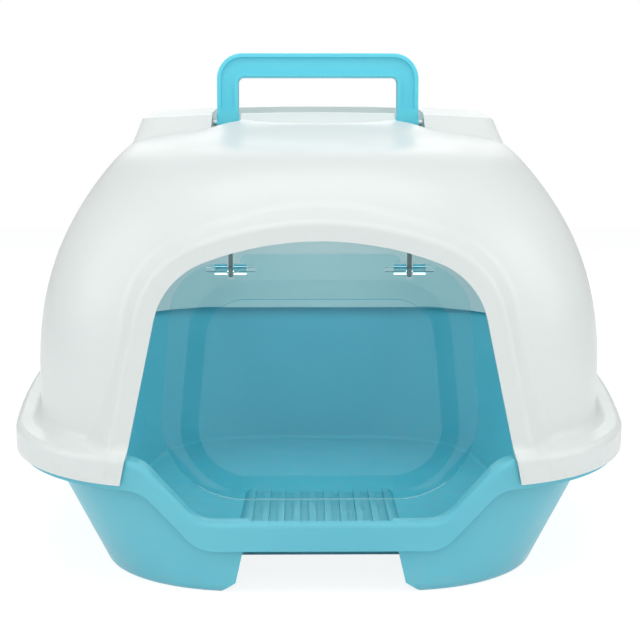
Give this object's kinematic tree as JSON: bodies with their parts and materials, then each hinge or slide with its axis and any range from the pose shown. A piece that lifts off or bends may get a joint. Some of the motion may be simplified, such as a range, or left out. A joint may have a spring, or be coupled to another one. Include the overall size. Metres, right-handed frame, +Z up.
{
  "type": "hooded litter box",
  "caption": "Hooded litter box: a tray with a low entry step, a domed lift-off hood with a swinging see-through door, a folding carry handle, a roof filter and side catches.",
  "frame": {"origin": "on the floor under the middle of the box", "axes": "+X to the right seen from the doorway, +Y from the doorway to the rear, +Z up"},
  "size_m": [0.4664, 0.5052, 0.3547],
  "materials": {
    "tray_plastic": "moulded, soft sheen",
    "hood_plastic": "moulded, soft sheen",
    "hanger_plastic": "moulded, dark",
    "handle_plastic": "moulded, glossy",
    "clear_flap": "clear tinted plastic sheet",
    "charcoal_pad": "open felt",
    "steel": "plain"
  },
  "bodies": {
    "tray": {"tray": "tray_plastic", "latch_pin_left": "steel", "latch_pin_right": "steel"},
    "hood": {"hood": "hood_plastic", "flap_hanger_left": "hanger_plastic", "flap_hanger_right": "hanger_plastic", "hanger_screws": "steel", "handle_pin_left": "steel", "handle_pin_right": "steel", "charcoal_filter": "charcoal_pad"},
    "flap": {"door_flap": "clear_flap", "flap_pin_left": "clear_flap", "flap_pin_right": "clear_flap"},
    "handle": {"carry_handle": "handle_plastic"},
    "cover": {"filter_cover": "hood_plastic"},
    "catch_left": {"latch_left": "handle_plastic"},
    "catch_right": {"latch_right": "handle_plastic"}
  },
  "joints": [
    {"name": "hood_lift", "type": "slide", "parent": "tray", "child": "hood", "axis": [0, -0.0906, 0.9959], "range_m": [0, 0.2]},
    {"name": "door_swing", "type": "hinge", "parent": "hood", "child": "flap", "pos_m": [0, -0.2, 0.205], "axis": [1, 0, 0], "range_deg": [-45, 75]},
    {"name": "handle_fold", "type": "hinge", "parent": "hood", "child": "handle", "pos_m": [0, -0.02645, 0.30239], "axis": [1, 0, 0], "range_deg": [-84.8, 0]},
    {"name": "cover_lift", "type": "slide", "parent": "hood", "child": "cover", "axis": [0, -0.0906, 0.9959], "range_m": [0, 0.03]},
    {"name": "catch_left_turn", "type": "hinge", "parent": "tray", "child": "catch_left", "pos_m": [-0.2225, 0.04183, 0.09272], "axis": [0, 0.9959, 0.0906], "range_deg": [0, 180]},
    {"name": "catch_right_turn", "type": "hinge", "parent": "tray", "child": "catch_right", "pos_m": [0.2225, 0.04183, 0.09272], "axis": [0, -0.9959, -0.0906], "range_deg": [0, 180]}
  ]
}
